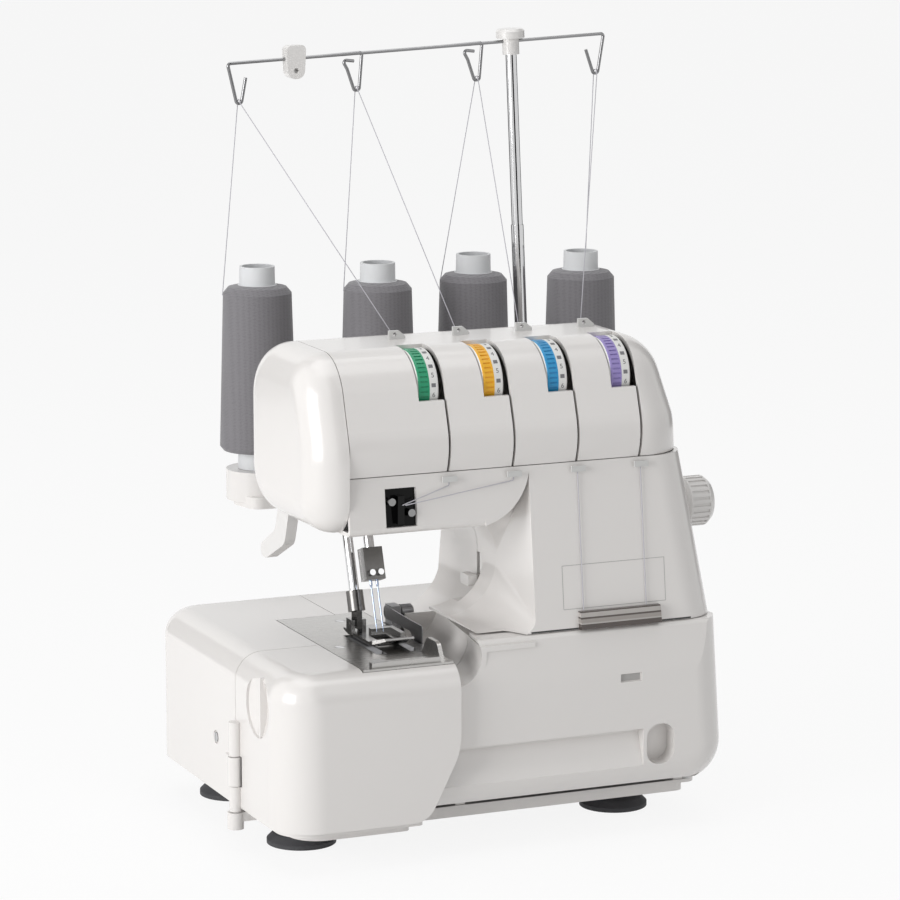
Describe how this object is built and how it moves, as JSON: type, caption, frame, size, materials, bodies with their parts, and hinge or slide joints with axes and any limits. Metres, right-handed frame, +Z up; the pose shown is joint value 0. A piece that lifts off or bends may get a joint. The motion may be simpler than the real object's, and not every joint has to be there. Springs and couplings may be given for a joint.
{
  "type": "overlock sewing machine",
  "caption": "Household overlock sewing machine with swing-open covers, looper cover, thread cones on a rear stand, telescopic thread guide and coloured tension dials.",
  "frame": {"origin": "on the table, under the middle of the machine's bounding box", "axes": "+Z up, +X towards the handwheel side, -Y towards the person sewing"},
  "size_m": [0.3072, 0.2404, 0.4541],
  "materials": {
    "white_plastic": "glossy white",
    "grey_plastic": "matte dark grey",
    "black_plastic": "matte black",
    "smoky_plastic": "clear smoky",
    "rubber": "matte",
    "belt_rubber": "matte",
    "steel": "brushed",
    "chrome": "polished",
    "castings": "as cast",
    "tool_steel": "ground",
    "motor_shell": "satin",
    "yarn": "wound",
    "thread": "spun",
    "dial_green": "satin",
    "dial_orange": "satin",
    "dial_blue": "satin",
    "dial_purple": "satin"
  },
  "bodies": {
    "machine": {"base_tray": "grey_plastic", "bed_casing": "white_plastic", "cover_screws": "chrome", "drive_belt": "belt_rubber", "fabric_guard": "steel", "face_cover": "white_plastic", "front_casing": "white_plastic", "hinge_pin": "chrome", "looper_thread_guide": "smoky_plastic", "lower_knife": "tool_steel", "machine_frame": "castings", "motor": "motor_shell", "needle_plate": "steel", "pole_lower": "chrome", "power_inlet": "black_plastic", "rear_casing": "white_plastic", "rubber_feet": "rubber", "shaft_bushes": "steel", "spool_pins": "chrome", "spool_stand": "white_plastic", "supply_threads": "thread", "take_up_guide": "chrome", "tension_bracket": "steel", "tension_cover": "white_plastic", "tension_discs": "steel", "thread_guides": "grey_plastic", "thread_runs": "thread", "waste_chute": "white_plastic"},
    "swing_cover": {"swing_cover": "white_plastic"},
    "cover_slider": {"cover_rod": "chrome"},
    "looper_cover": {"looper_cover": "white_plastic"},
    "needle_bar": {"needle_bar": "chrome", "needle_clamp": "chrome", "clamp_screws": "chrome", "needles": "chrome"},
    "presser_lifter": {"presser_lifter": "white_plastic"},
    "presser_bar": {"presser_bar": "chrome", "presser_ankle": "chrome"},
    "presser_foot": {"presser_foot": "steel"},
    "handwheel": {"handwheel": "white_plastic", "main_shaft": "chrome", "main_pulley": "grey_plastic"},
    "motor_pulley": {"motor_pulley": "grey_plastic"},
    "thread_pole": {"pole_upper": "chrome", "guide_bar": "chrome", "bar_fittings": "grey_plastic"},
    "feed_lever": {"feed_lever": "white_plastic"},
    "upper_knife": {"upper_knife": "tool_steel"},
    "lower_looper": {"lower_looper": "tool_steel"},
    "upper_looper": {"upper_looper": "tool_steel"},
    "feed_dogs": {"feed_dogs": "tool_steel"},
    "power_switch": {"power_switch": "black_plastic"},
    "tension_dial_left_needle": {"tension_dial_left_needle": "dial_green"},
    "tension_dial_right_needle": {"tension_dial_right_needle": "dial_orange"},
    "tension_dial_upper_looper": {"tension_dial_upper_looper": "dial_blue"},
    "tension_dial_lower_looper": {"tension_dial_lower_looper": "dial_purple"},
    "thread_cone_1": {"thread_cone_1": "yarn"},
    "thread_cone_2": {"thread_cone_2": "yarn"},
    "thread_cone_3": {"thread_cone_3": "yarn"},
    "thread_cone_4": {"thread_cone_4": "yarn"}
  },
  "joints": [
    {"name": "swing_cover_hinge", "type": "hinge", "parent": "machine", "child": "swing_cover", "pos_m": [-0.148, -0.047, 0.05], "axis": [0, 0, -1], "range_deg": [0, 100]},
    {"name": "looper_cover_slide", "type": "slide", "parent": "machine", "child": "cover_slider", "axis": [1, 0, 0], "range_m": [0, 0.008]},
    {"name": "looper_cover_hinge", "type": "hinge", "parent": "cover_slider", "child": "looper_cover", "pos_m": [0.04, -0.1, 0.033], "axis": [1, 0, 0], "range_deg": [0, 70]},
    {"name": "needle_bar_slide", "type": "slide", "parent": "machine", "child": "needle_bar", "axis": [0, 0.3256, 0.9455], "range_m": [-0.022, 0.003]},
    {"name": "presser_lifter_turn", "type": "hinge", "parent": "machine", "child": "presser_lifter", "pos_m": [-0.103, -0.025, 0.207], "axis": [1, 0, 0], "range_deg": [0, 25]},
    {"name": "presser_bar_slide", "type": "slide", "parent": "machine", "child": "presser_bar", "axis": [0, 0.3256, 0.9455], "range_m": [0, 0.006]},
    {"name": "presser_foot_tilt", "type": "hinge", "parent": "presser_bar", "child": "presser_foot", "pos_m": [-0.066, -0.03, 0.1216], "axis": [-1, 0, 0], "range_deg": [0, 10]},
    {"name": "handwheel_turn", "type": "hinge", "parent": "machine", "child": "handwheel", "pos_m": [0.1, -0.056, 0.183], "axis": [1, 0, 0], "continuous": true},
    {"name": "motor_pulley_turn", "type": "hinge", "parent": "machine", "child": "motor_pulley", "pos_m": [0.08, 0.042, 0.07], "axis": [1, 0, 0], "continuous": true},
    {"name": "thread_pole_slide", "type": "slide", "parent": "machine", "child": "thread_pole", "axis": [-0.0431, 0, 0.9991], "range_m": [-0.09, 0], "deforming": ["supply_threads"]},
    {"name": "feed_lever_slide", "type": "slide", "parent": "machine", "child": "feed_lever", "axis": [0, 0, 1], "range_m": [-0.006, 0.0135]},
    {"name": "upper_knife_turn", "type": "hinge", "parent": "machine", "child": "upper_knife", "pos_m": [-0.0375, -0.009, 0.121], "axis": [-1, 0, 0], "range_deg": [0, 60]},
    {"name": "lower_looper_swing", "type": "hinge", "parent": "machine", "child": "lower_looper", "pos_m": [-0.021, -0.062, 0.045], "axis": [0, 1, 0], "range_deg": [-8, 8]},
    {"name": "upper_looper_swing", "type": "hinge", "parent": "machine", "child": "upper_looper", "pos_m": [0.005, -0.0555, 0.049], "axis": [0, 1, 0], "range_deg": [-8, 8]},
    {"name": "feed_dogs_slide", "type": "slide", "parent": "machine", "child": "feed_dogs", "axis": [0, 1, 0], "range_m": [-0.002, 0.002]},
    {"name": "power_switch_rock", "type": "hinge", "parent": "machine", "child": "power_switch", "pos_m": [0.128, -0.011, 0.051], "axis": [0, -1, 0], "range_deg": [0, 8]},
    {"name": "tension_left_needle_turn", "type": "hinge", "parent": "machine", "child": "tension_dial_left_needle", "pos_m": [0, -0.06893, 0.26621], "axis": [1, 0, 0], "range_deg": [-150, 150]},
    {"name": "tension_right_needle_turn", "type": "hinge", "parent": "machine", "child": "tension_dial_right_needle", "pos_m": [0, -0.06893, 0.26621], "axis": [1, 0, 0], "range_deg": [-150, 150]},
    {"name": "tension_upper_looper_turn", "type": "hinge", "parent": "machine", "child": "tension_dial_upper_looper", "pos_m": [0, -0.06893, 0.26621], "axis": [1, 0, 0], "range_deg": [-150, 150]},
    {"name": "tension_lower_looper_turn", "type": "hinge", "parent": "machine", "child": "tension_dial_lower_looper", "pos_m": [0, -0.06893, 0.26621], "axis": [1, 0, 0], "range_deg": [-150, 150]},
    {"name": "thread_cone_1_spin", "type": "hinge", "parent": "machine", "child": "thread_cone_1", "pos_m": [-0.078, 0.097, 0.25], "axis": [0, 0, 1], "continuous": true},
    {"name": "thread_cone_2_spin", "type": "hinge", "parent": "machine", "child": "thread_cone_2", "pos_m": [-0.005, 0.084, 0.25], "axis": [0, 0, 1], "continuous": true},
    {"name": "thread_cone_3_spin", "type": "hinge", "parent": "machine", "child": "thread_cone_3", "pos_m": [0.064, 0.097, 0.25], "axis": [0, 0, 1], "continuous": true},
    {"name": "thread_cone_4_spin", "type": "hinge", "parent": "machine", "child": "thread_cone_4", "pos_m": [0.131, 0.084, 0.25], "axis": [0, 0, 1], "continuous": true}
  ],
  "couplings": [
    {"joint": "presser_bar_slide", "follows": "presser_lifter_turn", "m_per_rad": 0.01375},
    {"joint": "motor_pulley_turn", "follows": "handwheel_turn", "ratio": 3}
  ]
}
